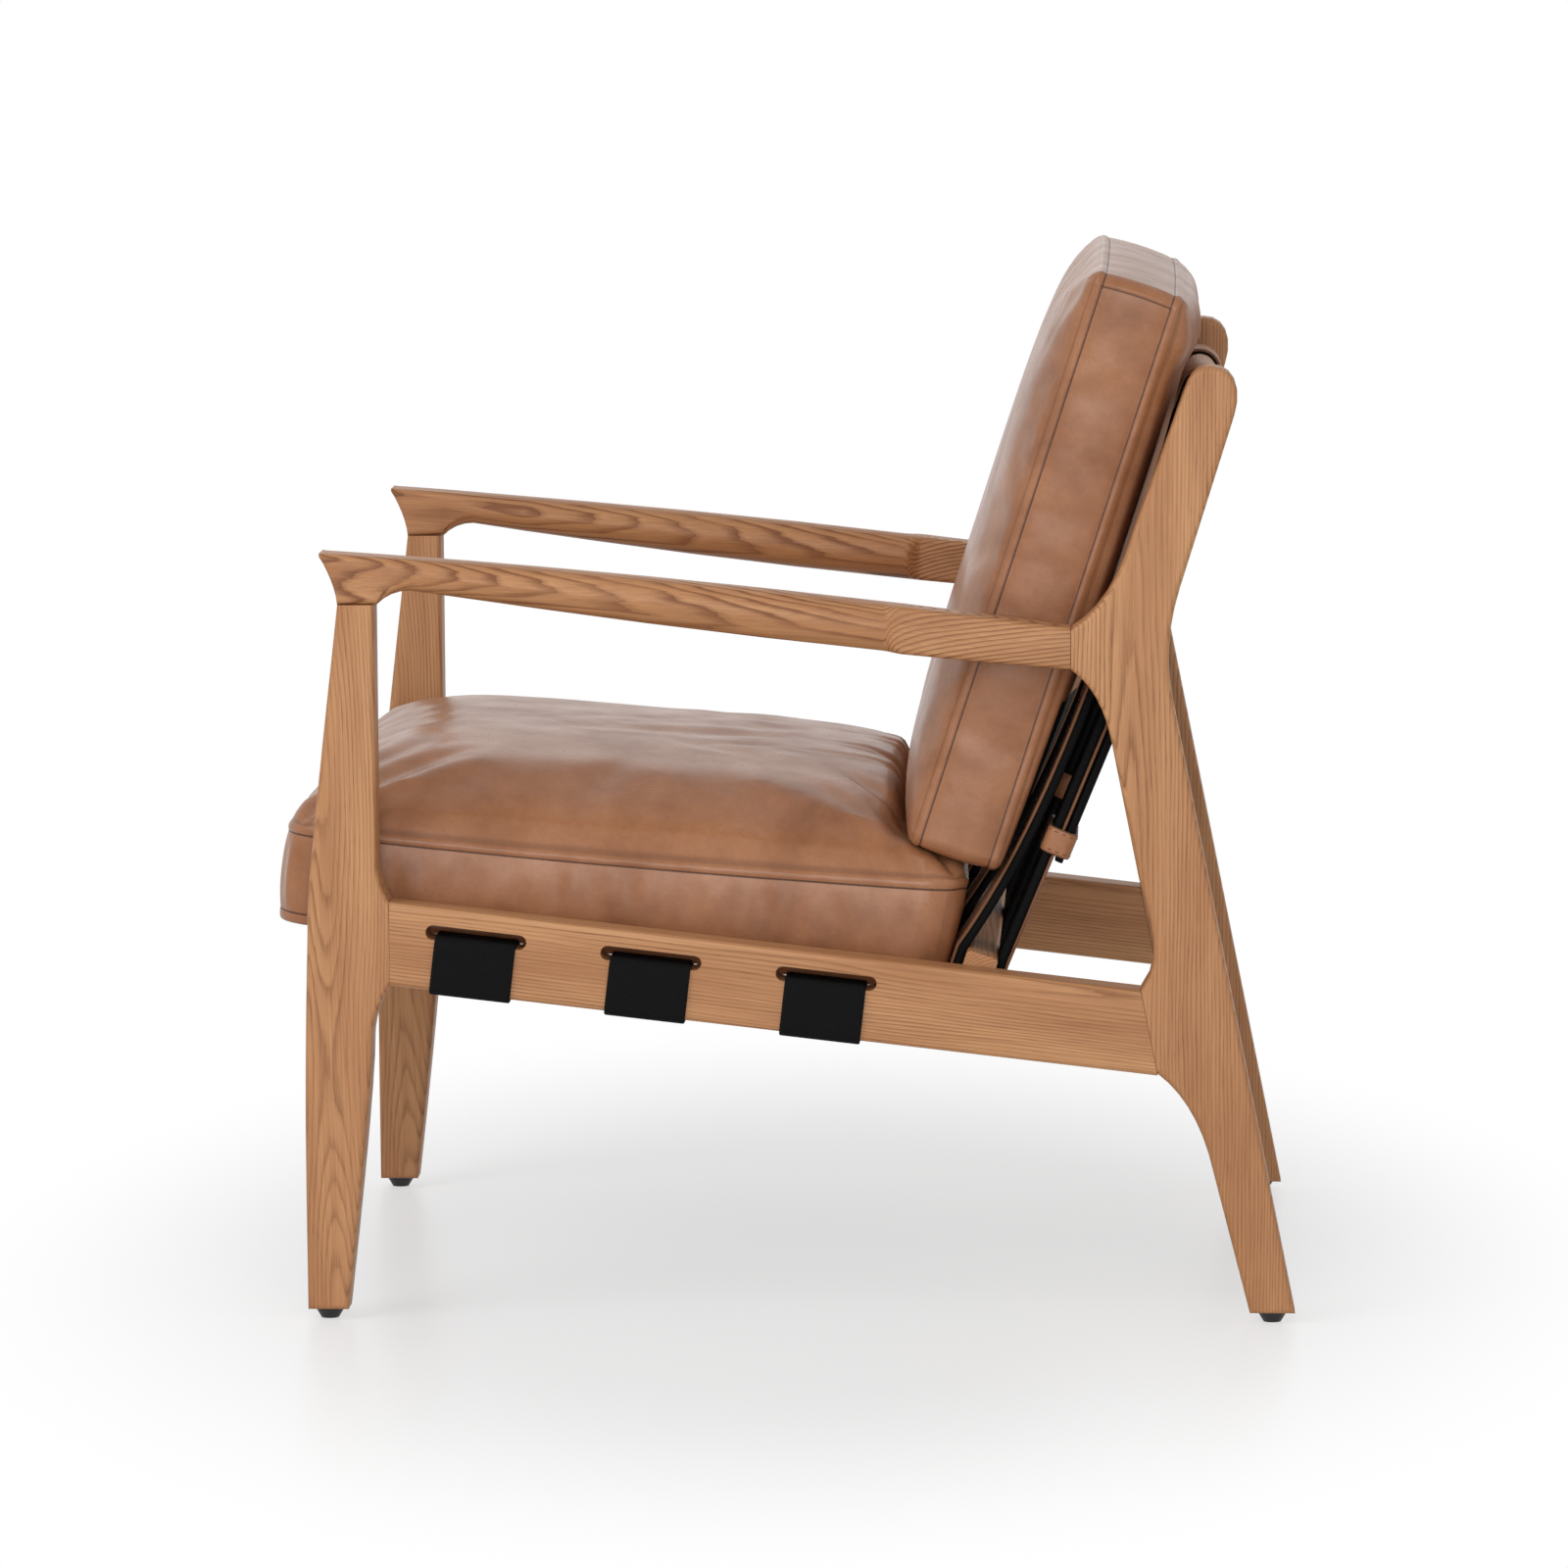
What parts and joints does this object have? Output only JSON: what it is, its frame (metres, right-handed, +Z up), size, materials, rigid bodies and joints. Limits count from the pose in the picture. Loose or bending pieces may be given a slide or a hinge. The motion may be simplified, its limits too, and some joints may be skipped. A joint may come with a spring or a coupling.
{
  "type": "lounge armchair",
  "caption": "Low wooden lounge armchair with sculpted arms, raked rear legs, webbing seat, belted back and loose leather seat and back cushions.",
  "frame": {"origin": "on the floor, at the middle of the chair's overall width and depth", "axes": "+X to the sitter's left, +Y to the rear (the chair faces -Y), +Z up"},
  "size_m": [0.691, 0.757, 0.7869],
  "materials": {
    "ash": "warm brown stained ash, satin",
    "dowel": "raw hardwood",
    "cushion_leather": "tan leather, soft sheen",
    "belt_leather": "tan strap leather",
    "lining_fabric": "black woven fabric",
    "webbing": "black woven webbing",
    "foam": "open cell foam",
    "glide": "black plastic",
    "slide_metal": "dark bronzed wire"
  },
  "bodies": {
    "frame": {"front_leg_left": "ash", "front_leg_right": "ash", "rear_leg_left": "ash", "rear_leg_right": "ash", "armrest_left": "ash", "armrest_right": "ash", "side_rail_left": "ash", "side_rail_right": "ash", "front_rail": "ash", "lower_back_rail": "ash", "crest_dowel": "ash", "arm_front_dowel_left": "dowel", "arm_front_dowel_right": "dowel", "arm_rear_dowel_upper_left": "dowel", "arm_rear_dowel_upper_right": "dowel", "arm_rear_dowel_lower_left": "dowel", "arm_rear_dowel_lower_right": "dowel", "glide_front_left": "glide", "glide_front_right": "glide", "glide_rear_left": "glide", "glide_rear_right": "glide", "seat_webbing_front": "webbing", "seat_webbing_middle": "webbing", "seat_webbing_rear": "webbing", "belt_leather_left": "belt_leather", "belt_leather_middle": "belt_leather", "belt_leather_right": "belt_leather", "belt_webbing_left": "webbing", "belt_webbing_middle": "webbing", "belt_webbing_right": "webbing", "belt_slide_left": "slide_metal", "belt_slide_middle": "slide_metal", "belt_slide_right": "slide_metal"},
    "seat_cushion": {"seat_cushion_cover": "cushion_leather", "seat_cushion_underside": "lining_fabric", "seat_cushion_foam": "foam"},
    "back_cushion": {"back_cushion_cover": "cushion_leather", "back_cushion_rear_panel": "lining_fabric", "back_cushion_foam": "foam"},
    "keeper_left": {"belt_keeper_left": "belt_leather"},
    "keeper_middle": {"belt_keeper_middle": "belt_leather"},
    "keeper_right": {"belt_keeper_right": "belt_leather"}
  },
  "joints": [
    {"name": "seat_cushion_slide", "type": "slide", "parent": "frame", "child": "seat_cushion", "axis": [0, -0.9935, 0.1142], "range_m": [0, 0.53]},
    {"name": "back_cushion_lift", "type": "slide", "parent": "frame", "child": "back_cushion", "axis": [0, 0.28, 0.96], "range_m": [0, 0.4]},
    {"name": "keeper_slide_left", "type": "slide", "parent": "frame", "child": "keeper_left", "axis": [0, 0.3807, 0.9247], "range_m": [-0.04, 0.085]},
    {"name": "keeper_slide_middle", "type": "slide", "parent": "frame", "child": "keeper_middle", "axis": [0, 0.3807, 0.9247], "range_m": [-0.055, 0.07]},
    {"name": "keeper_slide_right", "type": "slide", "parent": "frame", "child": "keeper_right", "axis": [0, 0.3807, 0.9247], "range_m": [-0.07, 0.055]}
  ]
}
